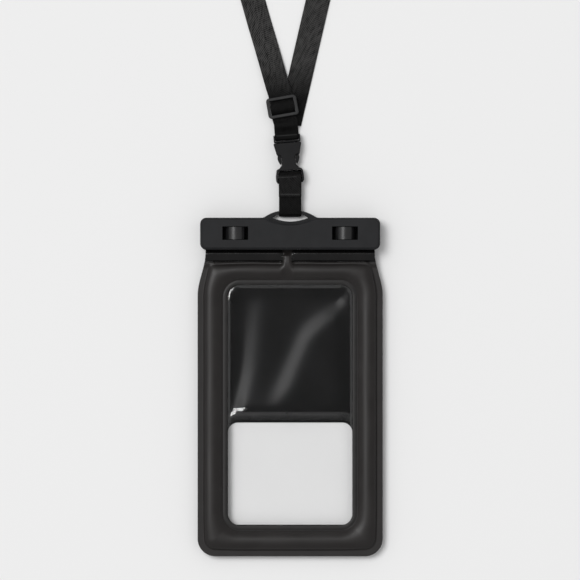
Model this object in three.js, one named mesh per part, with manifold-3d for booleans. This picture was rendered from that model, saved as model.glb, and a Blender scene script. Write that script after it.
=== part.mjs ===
// Waterproof phone pouch with a clamp bar, two turn locks and a neck strap, lying on a table.
// Millimetres, +Z up, +Y towards the strap. The origin is the middle of the clamp's back face.
import * as THREE from "three";
import { mergeVertices } from "three/addons/utils/BufferGeometryUtils.js";
import { ParametricGeometry } from "three/addons/geometries/ParametricGeometry.js";
import Module from "manifold-3d";

const wasm = await Module();
wasm.setup();

// Clearances between neighbours
const GAP = 0.3;
const RUN_GAP = 0.15;

// Clamp bar
const BAR_LENGTH = 116.5;
const BAR_TOP = 10.2;
const BAR_BOTTOM = -10.5;
const BAR_CORNER = 4;
const BAR_BEVEL = 1.5;
const BAR_THICKNESS = 14;
const BACK_HALF = 5;
const FILM = 0.4;
const PINCH = 2 * FILM + 3 * GAP;
const ARCH_HALF = 18.2;
const ARCH_PEAK = 15.4;
const ARCH_BAR = 2.4;
const ARCH_LOW = 1.5;
const ARCH_HIGH = 4.5;
const EYE_HALF = 11.6;
const EYE_BOTTOM = 7.8;
const DIP_HALF = 16;
const DIP_Y = 6;

// Turn locks
const LOCK_X = 35.5;
const LOCK_Y = 0.2;
const LOCK_WIDTH = 8;
const WINDOW_LENGTH = 16.6;
const PIVOT_Z = 7.5;
const BARREL_RADIUS = 6.8;
const BARREL_WALL = 0.9;
const RIDGE_HEIGHT = 0.7;
const PIN_RADIUS = 0.9;
const PIN_LENGTH = 1;
const TOE_RADIUS = 5.4;
const TOE_WALL = 0.9;
const KEEPER_INNER = 2.6;
const KEEPER_OUTER = 4.4;
const KEEPER_THICKNESS = 1;
const POCKET_FLOOR = 1.2;
// Arcs of the lock's section in degrees, from straight up and positive towards the bar's middle
const SHELL_ARC = [-68, 72];
const RIDGE_ARC = [45, 51];
const LOCK_WEB_ARC = [-12, 52];
const STEM_ARC = [166, 194];
const TOE_ARC = [166, 232];
const HUB_RADIUS = 2;
const HUB_CORE = 0.5;

// Pouch
const POUCH_HALF = 60;
const NECK_HALF = 54.8;
const SHOULDER_Y = -40;
const NECK_Y = -18.7;
const MOUTH_Y = -4.7;
const POUCH_END = -209.3;
const POUCH_CORNER = 11.4;
const MOUTH_CORNER = 1;
const FLANGE = 2.6;
const FLANGE_TOP = 1.3;
const PAD_HEIGHT = 10;
const WEB_BAND = 2.6;
const BAND_TOP = 6.9;
const BAND_BOTTOM = 6.3;
const FRONT_HALF_X = 40.4;
const FRONT_TOP = -33.3;
const FRONT_END = -189.3;
const FRONT_CORNER = 8;
const REAR_TOP = -121.8;
const REAR_END = -189.1;
const REAR_CORNER = 6.5;
const LAP = 2;
const CLEAR_FILM = 0.4;
const PLEAT_HALF = 3.6;
const SHEET_PARTING = 0.25;
const RING_COLUMNS = 72;
const RAMP_STEP = 2.4;
const CORNER_SHARE = 0.17;
const NECK_CROWDING = 1.7;

// Webbing and buckle
const WEB_THICK = 1.2;
const LOOP_WIDTH = 14.4;
const LOOP_SEW_LOW = 23.9;
const LOOP_SEW_HIGH = 37.4;
const LOOP_BEND = 0.8;
const STRAP_WIDTH = 15;
const BUCKLE_X = -0.1;
const BUCKLE_Y = 36.6;
const BUCKLE_TILT = THREE.MathUtils.degToRad(4.5);
const BUCKLE_THICK = 7.2;
const BUCKLE_WALL = 1.3;
const REAR_BAR_LOW = -3.1;
const REAR_BAR_HIGH = -0.5;
const REAR_SLOT_END = 4.7;
const WAIST_V = 7.1;
const SHOULDER_V = 14.9;
const MOUTH_V = 22.4;
const EAR_HALF = 9.1;
const WAIST_HALF = 5.65;
const TONGUE_HALF = 4.4;
const MOUTH_HALF = 8.95;
const MALE_RAIL = 0.9;
const MALE_HALF = STRAP_WIDTH / 2 + GAP + MALE_RAIL;
const MALE_PLATE = 1;
const MALE_BAR_V = 26.35;
const MALE_BAR_Z = 4.1;
const MALE_BAR_RADIUS = 0.85;

// Slider
const SLIDER_X = -5.1;
const SLIDER_Y = 82.4;
const SLIDER_TILT = THREE.MathUtils.degToRad(10);
const SLIDER_LENGTH = 19.8;
const SLIDER_DEPTH = 13.5;
const SLIDER_BAR = 2;
const SLIDER_LOW = 3.4;
const SLIDER_HIGH = 5;
const SLIDER_CORNER = 2.3;

const FRONT_LOW = BACK_HALF + PINCH;
const BACK_FILM_Z = BACK_HALF + GAP;
const WINDOW_DEPTH = LOCK_WIDTH + 2 * GAP;

const plastic = new THREE.MeshStandardMaterial({ color: 0x2b2c2e, roughness: 0.5, metalness: 0 });
const glossy = new THREE.MeshStandardMaterial({ color: 0x1c1d1e, roughness: 0.3, metalness: 0 });
const blackFilm = new THREE.MeshStandardMaterial({ color: 0x2a2827, roughness: 0.45, metalness: 0 });
const clearFilm = new THREE.MeshStandardMaterial({
  color: 0xf2f4f4,
  roughness: 0.1,
  metalness: 0,
  transparent: true,
  opacity: 0.3,
});
const webbing = new THREE.MeshStandardMaterial({ color: 0x161617, roughness: 0.9, metalness: 0 });

// A closed three.js geometry as a solid, and a solid as a named mesh.
function toSolid(geometry) {
  const bare = geometry.clone();
  bare.deleteAttribute("normal");
  bare.deleteAttribute("uv");
  const merged = mergeVertices(bare, 1e-4);
  return new wasm.Manifold(
    new wasm.Mesh({
      numProp: 3,
      vertProperties: new Float32Array(merged.attributes.position.array),
      triVerts: new Uint32Array(merged.index.array),
    }),
  );
}

function toMesh(solid, material, name) {
  const made = solid.getMesh();
  const geometry = new THREE.BufferGeometry();
  geometry.setAttribute("position", new THREE.BufferAttribute(made.vertProperties, 3));
  geometry.setIndex(new THREE.BufferAttribute(made.triVerts, 1));
  geometry.computeVertexNormals();
  const mesh = new THREE.Mesh(geometry, material);
  mesh.name = name;
  return mesh;
}

function block(x0, x1, y0, y1, z0, z1) {
  const box = new THREE.BoxGeometry(x1 - x0, y1 - y0, z1 - z0);
  box.translate((x0 + x1) / 2, (y0 + y1) / 2, (z0 + z1) / 2);
  return toSolid(box);
}

// A flat shape pushed up from z0 to z1, with an optional bevel on both rims.
function slab(shape, z0, z1, bevel = 0, curveSegments = 6) {
  const geometry = new THREE.ExtrudeGeometry(shape, {
    depth: z1 - z0 - 2 * bevel,
    curveSegments,
    bevelEnabled: bevel > 0,
    bevelThickness: bevel,
    bevelSize: bevel,
    bevelOffset: -bevel,
    bevelSegments: 2,
  });
  geometry.translate(0, 0, z0 + bevel);
  return toSolid(geometry);
}

// A shape drawn in X and Z, pushed along Y and centred on it.
function slabAlongY(shape, width, curveSegments = 6) {
  const geometry = new THREE.ExtrudeGeometry(shape, { depth: width, curveSegments, bevelEnabled: false });
  geometry.rotateX(Math.PI / 2);
  geometry.translate(0, width / 2, 0);
  return toSolid(geometry);
}

// A shape drawn in Y and Z, pushed along X and centred on it.
function slabAlongX(shape, width, curveSegments = 6) {
  const geometry = new THREE.ExtrudeGeometry(shape, { depth: width, curveSegments, bevelEnabled: false });
  const turn = new THREE.Matrix4().makeBasis(
    new THREE.Vector3(0, 1, 0),
    new THREE.Vector3(0, 0, 1),
    new THREE.Vector3(1, 0, 0),
  );
  geometry.applyMatrix4(turn);
  geometry.translate(-width / 2, 0, 0);
  return toSolid(geometry);
}

function roundedBox(x0, x1, y0, y1, radius) {
  const shape = new THREE.Shape();
  shape.moveTo(x0 + radius, y0);
  shape.lineTo(x1 - radius, y0);
  shape.absarc(x1 - radius, y0 + radius, radius, -Math.PI / 2, 0, false);
  shape.lineTo(x1, y1 - radius);
  shape.absarc(x1 - radius, y1 - radius, radius, 0, Math.PI / 2, false);
  shape.lineTo(x0 + radius, y1);
  shape.absarc(x0 + radius, y1 - radius, radius, Math.PI / 2, Math.PI, false);
  shape.lineTo(x0, y0 + radius);
  shape.absarc(x0 + radius, y0 + radius, radius, Math.PI, 1.5 * Math.PI, false);
  return shape;
}

// The bar seen from the front. Its top edge either rises over the strap eye or dips below it.
function barShape(rises) {
  const half = BAR_LENGTH / 2;
  const r = BAR_CORNER;
  const shape = new THREE.Shape();
  shape.moveTo(-half + r, BAR_BOTTOM);
  shape.lineTo(half - r, BAR_BOTTOM);
  shape.absarc(half - r, BAR_BOTTOM + r, r, -Math.PI / 2, 0, false);
  shape.lineTo(half, BAR_TOP - r);
  shape.absarc(half - r, BAR_TOP - r, r, 0, Math.PI / 2, false);
  if (rises) {
    shape.lineTo(ARCH_HALF, BAR_TOP);
    shape.bezierCurveTo(ARCH_HALF * 0.85, BAR_TOP + 0.4, ARCH_HALF * 0.69, ARCH_PEAK, 0, ARCH_PEAK);
    shape.bezierCurveTo(-ARCH_HALF * 0.69, ARCH_PEAK, -ARCH_HALF * 0.85, BAR_TOP + 0.4, -ARCH_HALF, BAR_TOP);
  } else {
    shape.lineTo(DIP_HALF, BAR_TOP);
    shape.quadraticCurveTo(DIP_HALF * 0.55, DIP_Y, 0, DIP_Y);
    shape.quadraticCurveTo(-DIP_HALF * 0.55, DIP_Y, -DIP_HALF, BAR_TOP);
  }
  shape.lineTo(-half + r, BAR_TOP);
  shape.absarc(-half + r, BAR_TOP - r, r, Math.PI / 2, Math.PI, false);
  shape.lineTo(-half, BAR_BOTTOM + r);
  shape.absarc(-half + r, BAR_BOTTOM + r, r, Math.PI, 1.5 * Math.PI, false);
  return shape;
}

// The lens-shaped eye that the short strap passes through.
function eyeShape() {
  const tipY = BAR_TOP - 0.1;
  const crown = ARCH_PEAK - ARCH_BAR;
  const shape = new THREE.Shape();
  shape.moveTo(-EYE_HALF, tipY);
  shape.quadraticCurveTo(-EYE_HALF * 0.45, EYE_BOTTOM, 0, EYE_BOTTOM);
  shape.quadraticCurveTo(EYE_HALF * 0.45, EYE_BOTTOM, EYE_HALF, tipY);
  shape.bezierCurveTo(EYE_HALF * 0.8, crown - 1, EYE_HALF * 0.66, crown, 0, crown);
  shape.bezierCurveTo(-EYE_HALF * 0.66, crown, -EYE_HALF * 0.8, crown - 1, -EYE_HALF, tipY);
  return shape;
}

function lockPocket(side, z0, z1) {
  const x = side * LOCK_X;
  const half = WINDOW_LENGTH / 2;
  return block(x - half, x + half, LOCK_Y - WINDOW_DEPTH / 2, LOCK_Y + WINDOW_DEPTH / 2, z0, z1);
}

function clampBack() {
  const far = BAR_LENGTH;
  const landTop = FRONT_LOW - GAP;
  const filmSide = NECK_HALF + 2 * GAP;
  let body = slab(barShape(true), 0, landTop + BAR_BEVEL, BAR_BEVEL);
  body = body.subtract(block(-far, far, -far, far, landTop, landTop + 2 * BAR_BEVEL));
  body = body.subtract(block(-filmSide, filmSide, -far, MOUTH_Y + GAP, BACK_HALF, landTop + 1));
  body = body.subtract(block(-far, far, BAR_TOP, far, -1, ARCH_LOW));
  body = body.subtract(block(-far, far, BAR_TOP, far, ARCH_HIGH, landTop + 1));
  body = body.subtract(slab(eyeShape(), -1, landTop + 1));
  for (const side of [-1, 1]) {
    const outer = side * (LOCK_X + KEEPER_OUTER);
    const inner = side * (LOCK_X + KEEPER_INNER);
    const keeper = block(
      Math.min(outer, inner),
      Math.max(outer, inner),
      LOCK_Y - WINDOW_DEPTH / 2 - 1,
      LOCK_Y + WINDOW_DEPTH / 2 + 1,
      BACK_HALF - KEEPER_THICKNESS,
      BACK_HALF,
    );
    body = body.subtract(lockPocket(side, POCKET_FLOOR, landTop + 1)).add(keeper);
  }
  return toMesh(body, plastic, "clamp_back");
}

function clampFront() {
  const far = BAR_LENGTH;
  let body = slab(barShape(false), FRONT_LOW - BAR_BEVEL, BAR_THICKNESS, BAR_BEVEL);
  body = body.subtract(block(-far, far, -far, far, FRONT_LOW - 2 * BAR_BEVEL, FRONT_LOW));
  for (const side of [-1, 1]) {
    const x = side * LOCK_X;
    const reach = WINDOW_DEPTH / 2 + PIN_LENGTH;
    const seat = PIN_RADIUS + RUN_GAP;
    body = body.subtract(lockPocket(side, 0, BAR_THICKNESS + 1));
    body = body.subtract(block(x - seat, x + seat, LOCK_Y - reach, LOCK_Y + reach, 0, PIVOT_Z));
    const bore = new THREE.CylinderGeometry(seat, seat, 2 * reach, 16);
    bore.translate(x, LOCK_Y, PIVOT_Z);
    body = body.subtract(toSolid(bore));
  }
  return toMesh(body, plastic, "clamp_front");
}

// A ring sector in X and Z about the pivot. Angles are from straight up, positive towards the bar's middle.
function sector(inner, outer, [from, to]) {
  const shape = new THREE.Shape();
  const a = THREE.MathUtils.degToRad(90 - to);
  const b = THREE.MathUtils.degToRad(90 - from);
  shape.absarc(0, 0, outer, a, b, false);
  shape.absarc(0, 0, inner, b, a, true);
  return shape;
}

// One lock: a curved thumb shell with a ridge, a web to the hub, and a hook under the back half's keeper.
function lock(side, name) {
  const shellInner = BARREL_RADIUS - BARREL_WALL;
  const toeInner = TOE_RADIUS - TOE_WALL;
  const toeTop = BACK_HALF - KEEPER_THICKNESS - GAP;
  const parts = [
    slabAlongY(sector(shellInner, BARREL_RADIUS, SHELL_ARC), LOCK_WIDTH),
    slabAlongY(sector(BARREL_RADIUS - BARREL_WALL / 2, BARREL_RADIUS + RIDGE_HEIGHT, RIDGE_ARC), LOCK_WIDTH, 3),
    slabAlongY(sector(HUB_CORE, shellInner + BARREL_WALL / 3, LOCK_WEB_ARC), LOCK_WIDTH),
    slabAlongY(sector(HUB_CORE, toeInner + TOE_WALL / 3, STEM_ARC), LOCK_WIDTH, 4),
    slabAlongY(sector(0.05, HUB_RADIUS, [0, 359.9]), LOCK_WIDTH, 10),
  ];
  const toe = slabAlongY(sector(toeInner, TOE_RADIUS, TOE_ARC), LOCK_WIDTH, 6);
  const above = block(-TOE_RADIUS - 1, 0, -LOCK_WIDTH, LOCK_WIDTH, toeTop - PIVOT_Z, 0);
  let body = toe.subtract(above);
  for (const part of parts) {
    body = body.add(part);
  }
  const pinLength = LOCK_WIDTH + 2 * PIN_LENGTH;
  body = body.add(toSolid(new THREE.CylinderGeometry(PIN_RADIUS, PIN_RADIUS, pinLength, 12)));
  const mesh = toMesh(side < 0 ? body : body.mirror([1, 0, 0]), glossy, name);
  mesh.position.set(side * LOCK_X, LOCK_Y, PIVOT_Z);
  return mesh;
}

// Smooth step from 0 to 1 as x goes from a to b.
function ease(x, a, b) {
  const t = THREE.MathUtils.clamp((x - a) / (b - a), 0, 1);
  return t * t * (3 - 2 * t);
}

// Half the pouch's width at a height y: full width below the shoulders, narrower in the clamp.
function halfWidthAt(y) {
  return POUCH_HALF - (POUCH_HALF - NECK_HALF) * ease(y, SHOULDER_Y, BAR_BOTTOM - 1.5);
}

// Height of the sheet's lower face: flat on the table, rising into the clamp's pinch.
function tableRise(y) {
  return BACK_FILM_Z * ease(y, SHOULDER_Y + 3, BAR_BOTTOM - 1);
}

// Height of the front sheet's lower face, which parts a little from the back sheet below the clamp.
function frontSheet(y) {
  return tableRise(y) + FILM + GAP + SHEET_PARTING * ease(-y, 1 - BAR_BOTTOM, 6 - BAR_BOTTOM);
}

// A point on a rounded rectangle, with the same share of points on each side and corner.
// u runs anticlockwise from the right side's lower end.
function outlinePoint(u, x1, y0, y1, lowRadius, highRadius) {
  const turn = (u % 1) * 4;
  const side = Math.floor(turn);
  const t = turn - side;
  const corner = CORNER_SHARE;
  const ends = [
    [x1, y0, x1, y1, lowRadius, highRadius],
    [x1, y1, -x1, y1, highRadius, highRadius],
    [-x1, y1, -x1, y0, highRadius, lowRadius],
    [-x1, y0, x1, y0, lowRadius, lowRadius],
  ][side];
  const [ax, ay, bx, by, ra, rb] = ends;
  const dir = [Math.sign(bx - ax), Math.sign(by - ay)];
  const length = Math.abs(bx - ax) + Math.abs(by - ay);
  const inward = [-dir[1], dir[0]];
  if (t < corner) {
    const angle = (1 - t / corner) * (Math.PI / 4);
    const along = ra * (1 - Math.sin(angle));
    const across = ra * (1 - Math.cos(angle));
    return [ax + dir[0] * along + inward[0] * across, ay + dir[1] * along + inward[1] * across];
  }
  if (t > 1 - corner) {
    const angle = ((t - 1 + corner) / corner) * (Math.PI / 4);
    const along = length - rb * (1 - Math.sin(angle));
    const across = rb * (1 - Math.cos(angle));
    return [ax + dir[0] * along + inward[0] * across, ay + dir[1] * along + inward[1] * across];
  }
  // The long sides have more points towards the neck, where the width changes.
  const even = (t - corner) / (1 - 2 * corner);
  const denser = [1 - (1 - even) ** NECK_CROWDING, even, even ** NECK_CROWDING, even];
  const along = ra + (length - ra - rb) * denser[side];
  return [ax + dir[0] * along, ay + dir[1] * along];
}

// How far a point lies inside a rounded rectangle, negative outside it.
function insideBox(x, y, half, low, high, radius) {
  const qx = Math.abs(x) - (half - radius);
  const qy = Math.abs(y - (low + high) / 2) - ((high - low) / 2 - radius);
  return radius - Math.hypot(Math.max(qx, 0), Math.max(qy, 0)) - Math.min(Math.max(qx, qy), 0);
}

// A closed ring between the pouch's outline and a hole. The section goes out along the top and back
// along the underside: topAt and lowAt give the height at a point, and rows lists the section's places
// from the outline, 0, to the hole's edge, 1.
function ring(hole, columns, rows, topAt, lowAt) {
  const across = rows.length;
  const surface = (u, v, target) => {
    const k = Math.round(v * 2 * across) % (2 * across);
    const top = k < across;
    const t = top ? rows[k] : rows[2 * across - 1 - k];
    const [ox, oy] = outlinePoint(u, POUCH_HALF, POUCH_END, MOUTH_Y, POUCH_CORNER, MOUTH_CORNER);
    const [hx, hy] = outlinePoint(u, hole.half, hole.low, hole.high, hole.corner, hole.corner);
    const px = (ox * halfWidthAt(oy)) / POUCH_HALF;
    const x = px + (hx - px) * t;
    const y = oy + (hy - oy) * t;
    const out = insideBox((x * POUCH_HALF) / halfWidthAt(y), y, POUCH_HALF, POUCH_END, -POUCH_END, POUCH_CORNER);
    const inn = -insideBox(x, y, hole.half, hole.low, hole.high, hole.corner);
    target.set(x, y, top ? topAt(x, y, out, inn) : lowAt(x, y, out, inn));
  };
  return toSolid(new ParametricGeometry(surface, columns, 2 * across));
}

// The padded front: weld flange, air-filled crown, weld band round the window, and the neck's strips.
function paddedTop(x, y, out, inn) {
  const sheet = frontSheet(y);
  const neck = ease(y, NECK_Y - 1.5, NECK_Y + 1.5);
  const rise = ease(out, FLANGE, FLANGE + 11);
  const fall = ease(inn, WEB_BAND - 0.6, WEB_BAND + 8);
  const crown = FLANGE_TOP + (PAD_HEIGHT - FLANGE_TOP) * rise;
  const pad = BAND_TOP + (crown - BAND_TOP) * fall;
  const flat = sheet + FILM;
  const pleat = 1 - ease(Math.abs(x), PLEAT_HALF * 0.5, PLEAT_HALF);
  const strip = flat + 1.2 * pleat * ease(-y, -BAR_BOTTOM, 3 - BAR_BOTTOM);
  const padded = Math.max(pad, flat + 0.05);
  return padded + (strip - padded) * neck;
}

function paddedLow(x, y, out, inn) {
  const sheet = frontSheet(y);
  const wall = 1 - ease(inn, WEB_BAND + 0.9, WEB_BAND + 2.9);
  return Math.max(sheet, sheet + (BAND_BOTTOM - sheet) * wall * (1 - ease(y, NECK_Y - 4, NECK_Y)));
}

const frontHole = { half: FRONT_HALF_X, low: FRONT_END, high: FRONT_TOP, corner: FRONT_CORNER };
const rearHole = { half: FRONT_HALF_X, low: REAR_END, high: REAR_TOP, corner: REAR_CORNER };

function paddedFront() {
  const rows = [0, 0.13, 0.21, 0.28, 0.36, 0.48, 0.6, 0.7, 0.77, 0.83, 0.88, 0.93, 1];
  return toMesh(ring(frontHole, RING_COLUMNS, rows, paddedTop, paddedLow), blackFilm, "padded_front");
}

// The back sheet lies flat and ramps up into the clamp, with a hole for its lower window.
function backPanel() {
  const ramp = [];
  for (let y = MOUTH_Y; y > SHOULDER_Y; y -= RAMP_STEP) {
    ramp.push([y, tableRise(y)]);
  }
  ramp.push([POUCH_END, 0]);
  const profile = [...ramp, ...ramp.toReversed().map(([y, z]) => [y, z + FILM])];
  const side = new THREE.Shape(profile.map(([y, z]) => new THREE.Vector2(y, z)));
  const outline = [];
  for (let i = 0; i < RING_COLUMNS; i += 1) {
    const [x, y] = outlinePoint(i / RING_COLUMNS, POUCH_HALF, POUCH_END, MOUTH_Y, POUCH_CORNER, MOUTH_CORNER);
    outline.push(new THREE.Vector2((x * halfWidthAt(y)) / POUCH_HALF, y));
  }
  const hole = roundedBox(-rearHole.half, rearHole.half, rearHole.low, rearHole.high, rearHole.corner);
  let body = slabAlongX(side, 2 * POUCH_HALF + 1);
  body = body.intersect(slab(new THREE.Shape(outline), -1, FRONT_LOW));
  body = body.subtract(slab(hole, -1, 1 + FILM, 0, 5));
  return toMesh(body, blackFilm, "back_panel");
}

function clearSheet(hole, low, name) {
  const shape = roundedBox(-hole.half - LAP, hole.half + LAP, hole.low - LAP, hole.high + LAP, hole.corner + LAP);
  return toMesh(slab(shape, low, low + CLEAR_FILM, 0, 5), clearFilm, name);
}

// The short sewn loop of webbing between the clamp's arch and the buckle, drawn in Y and Z.
function lowerLoop() {
  const archInner = ARCH_PEAK - ARCH_BAR - 3 * GAP;
  const slotEnd = BUCKLE_Y + REAR_SLOT_END - Math.sin(BUCKLE_TILT) * (LOOP_WIDTH / 2);
  const barOuter = slotEnd - 1.5 * GAP - WEB_THICK;
  const low = archInner - WEB_THICK;
  const high = barOuter + WEB_THICK;
  const top = ARCH_HIGH + GAP + WEB_THICK;
  const outer = roundedBox(low, high, 0, top, LOOP_BEND + WEB_THICK);
  outer.holes.push(roundedBox(archInner, barOuter, WEB_THICK, top - WEB_THICK, LOOP_BEND));
  const lap = block(-LOOP_WIDTH / 2, LOOP_WIDTH / 2, LOOP_SEW_LOW, LOOP_SEW_HIGH, top - 0.1, top + WEB_THICK);
  return toMesh(slabAlongX(outer, LOOP_WIDTH).add(lap), webbing, "lower_strap");
}

function mirrored(points) {
  const shape = new THREE.Shape();
  const all = [...points, ...points.toReversed().map(([x, y]) => [-x, y])];
  shape.setFromPoints(all.map(([x, y]) => new THREE.Vector2(x, y)));
  return shape;
}

// The socket half of the side-release buckle, with open sides where the tabs show.
function buckleFemale() {
  const outline = mirrored([
    [EAR_HALF - 0.9, REAR_BAR_LOW - 0.5],
    [EAR_HALF, REAR_BAR_LOW + 0.8],
    [EAR_HALF, REAR_SLOT_END - 3.4],
    [EAR_HALF - 0.5, REAR_SLOT_END - 0.9],
    [EAR_HALF - 0.7, REAR_SLOT_END + 0.3],
    [WAIST_HALF + 0.6, WAIST_V - 0.9],
    [WAIST_HALF, WAIST_V],
    [TONGUE_HALF + 0.2, WAIST_V + 0.8],
    [TONGUE_HALF, WAIST_V + 2],
    [TONGUE_HALF, SHOULDER_V - 2],
    [TONGUE_HALF + 0.6, SHOULDER_V - 0.6],
    [MOUTH_HALF - 1.5, SHOULDER_V],
    [MOUTH_HALF, MOUTH_V - 1],
    [MOUTH_HALF - 0.1, MOUTH_V],
  ]);
  const half = LOOP_WIDTH / 2 + 2 * GAP;
  let body = slab(outline, 0, BUCKLE_THICK, 0.6, 4);
  body = body.subtract(block(-half, half, REAR_BAR_HIGH, REAR_SLOT_END, -1, BUCKLE_THICK + 1));
  body = body.subtract(block(-half, half, -9, REAR_SLOT_END, -1, ARCH_LOW));
  body = body.subtract(block(-half, half, -9, REAR_SLOT_END, ARCH_HIGH, BUCKLE_THICK + 1));
  const low = BUCKLE_WALL;
  const high = BUCKLE_THICK - BUCKLE_WALL;
  body = body.subtract(block(-MOUTH_HALF + 1.4, MOUTH_HALF - 1.4, WAIST_V + 1, MOUTH_V + 1, low, high));
  return toMesh(body, plastic, "buckle_female");
}

// The tongue half: a bar for the neck strap, a cross body, a guide tongue and two springing arms.
function buckleMale() {
  const low = BUCKLE_WALL + GAP;
  const high = BUCKLE_THICK - BUCKLE_WALL - GAP;
  const start = MOUTH_V + GAP;
  const inside = MALE_HALF - MALE_RAIL;
  const end = MALE_BAR_V + MALE_BAR_RADIUS + 0.5;
  const frame = roundedBox(-MALE_HALF, MALE_HALF, start, end, 0.8);
  let body = slab(frame, 0.6, BUCKLE_THICK - 0.6, 0.5, 3);
  body = body.subtract(block(-inside, inside, start + MALE_PLATE, end + 1, -1, BUCKLE_THICK + 1));
  const bar = new THREE.CylinderGeometry(MALE_BAR_RADIUS, MALE_BAR_RADIUS, 2 * inside + 1, 12);
  bar.rotateZ(Math.PI / 2);
  bar.translate(0, MALE_BAR_V, MALE_BAR_Z);
  body = body.add(toSolid(bar));
  body = body.add(block(-2, 2, WAIST_V + 3, start + 1, low + 0.5, high - 0.5));
  const tabOuter = MOUTH_HALF - 1.8;
  for (const side of [-1, 1]) {
    const arm = [
      [TONGUE_HALF + 0.3, WAIST_V + 2.2],
      [TONGUE_HALF + 1.2, WAIST_V + 1.4],
      [tabOuter - 0.5, WAIST_V + 3.4],
      [tabOuter, SHOULDER_V - 2.6],
      [tabOuter - 0.2, SHOULDER_V - 0.4],
      [tabOuter - 0.6, SHOULDER_V + 0.2],
      [tabOuter - 0.6, start + 1],
      [tabOuter - 2, start + 1],
      [tabOuter - 2.2, SHOULDER_V],
    ];
    const shape = new THREE.Shape();
    shape.setFromPoints(arm.map(([x, y]) => new THREE.Vector2(side * x, y)));
    body = body.add(slab(shape, low, high, 0, 4));
  }
  return toMesh(body, plastic, "buckle_male");
}

function slider() {
  const x = SLIDER_LENGTH / 2;
  const y = SLIDER_DEPTH / 2;
  const slot = y - SLIDER_BAR;
  const inside = STRAP_WIDTH / 2 + GAP;
  let body = slab(roundedBox(-x, x, -y, y, SLIDER_CORNER), SLIDER_LOW, SLIDER_HIGH, 0.4, 4);
  for (const side of [-1, 1]) {
    const near = side * (SLIDER_BAR / 2);
    const far = side * slot;
    body = body.subtract(block(-inside, inside, Math.min(near, far), Math.max(near, far), 0, 9));
  }
  const mesh = toMesh(body, plastic, "slider");
  mesh.position.set(SLIDER_X, SLIDER_Y, 0);
  mesh.rotation.z = SLIDER_TILT;
  return mesh;
}

// Places along the buckle and along the slider, as points of the neck strap.
function onBuckle(v, z) {
  return [BUCKLE_X - Math.sin(BUCKLE_TILT) * v, BUCKLE_Y + Math.cos(BUCKLE_TILT) * v, z];
}

function onSlider(w, z) {
  return [SLIDER_X - Math.sin(SLIDER_TILT) * w, SLIDER_Y + Math.cos(SLIDER_TILT) * w, z];
}

// The neck strap's middle line: a sewn end in front of the buckle's bar, round the bar, through the slider,
// up the left leg, round the far bend and down the right leg to its other end behind the bar.
function strapRoute() {
  const flat = WEB_THICK / 2 + 0.02;
  const points = [
    onBuckle(27.9, 6.05),
    onBuckle(27.2, 6),
    onBuckle(26.35, 5.85),
    onBuckle(25.11, 5.34),
    onBuckle(24.6, 4.1),
    onBuckle(25.11, 2.86),
    onBuckle(26.35, 2.35),
    onBuckle(28, 1.95),
    onBuckle(29.8, 1.8),
    onBuckle(31.3, 2.3),
    onBuckle(32.5, 3.5),
    onBuckle(33.8, 4.4),
    onBuckle(35.2, 4),
    onBuckle(36.4, 2.8),
    onSlider(-7.8, 2.3),
    onSlider(-5.6, 2.1),
    onSlider(-4.1, 2.8),
    onSlider(-2.9, 4.2),
    onSlider(-1.7, 5.7),
    onSlider(0, 6.25),
    onSlider(1.7, 5.7),
    onSlider(2.9, 4.2),
    onSlider(4.1, 2.8),
    onSlider(5.6, 2.2),
    onSlider(8.2, 2.1),
    [-8.2, 96, 2.1],
    [-11.6, 108, 2],
    [-15.6, 122, 1.1],
    [-20, 137, flat],
    [-24.2, 151.9, flat],
    [-33.5, 184.5, flat],
    [-43.3, 219, flat],
    [-53, 253, flat],
    [-63, 288, flat],
  ];
  const centre = [-7.8, 341.3];
  const radius = 68;
  const from = THREE.MathUtils.degToRad(196);
  const to = THREE.MathUtils.degToRad(-13);
  const steps = 10;
  for (let i = 0; i <= steps; i += 1) {
    const angle = from + ((to - from) * i) / steps;
    points.push([centre[0] + radius * Math.cos(angle), centre[1] + radius * Math.sin(angle), flat]);
  }
  points.push(
    [49.8, 288, flat],
    [41.6, 253, flat],
    [33.7, 219, flat],
    [25.7, 184.5, flat],
    [18.1, 151.9, flat],
    [13.7, 133, flat],
    [9.2, 113.5, flat],
    [4.7, 94, flat],
    [1.4, 80, flat],
    [-0.5, 71.5, flat],
  );
  return points.map(([x, y, z]) => new THREE.Vector3(x, y, z));
}

// The strap is flat on the table along its legs and stands on its edge round the far bend.
function strapRoll(y) {
  return (ease(y, 235, 315) * Math.PI) / 2;
}

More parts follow.
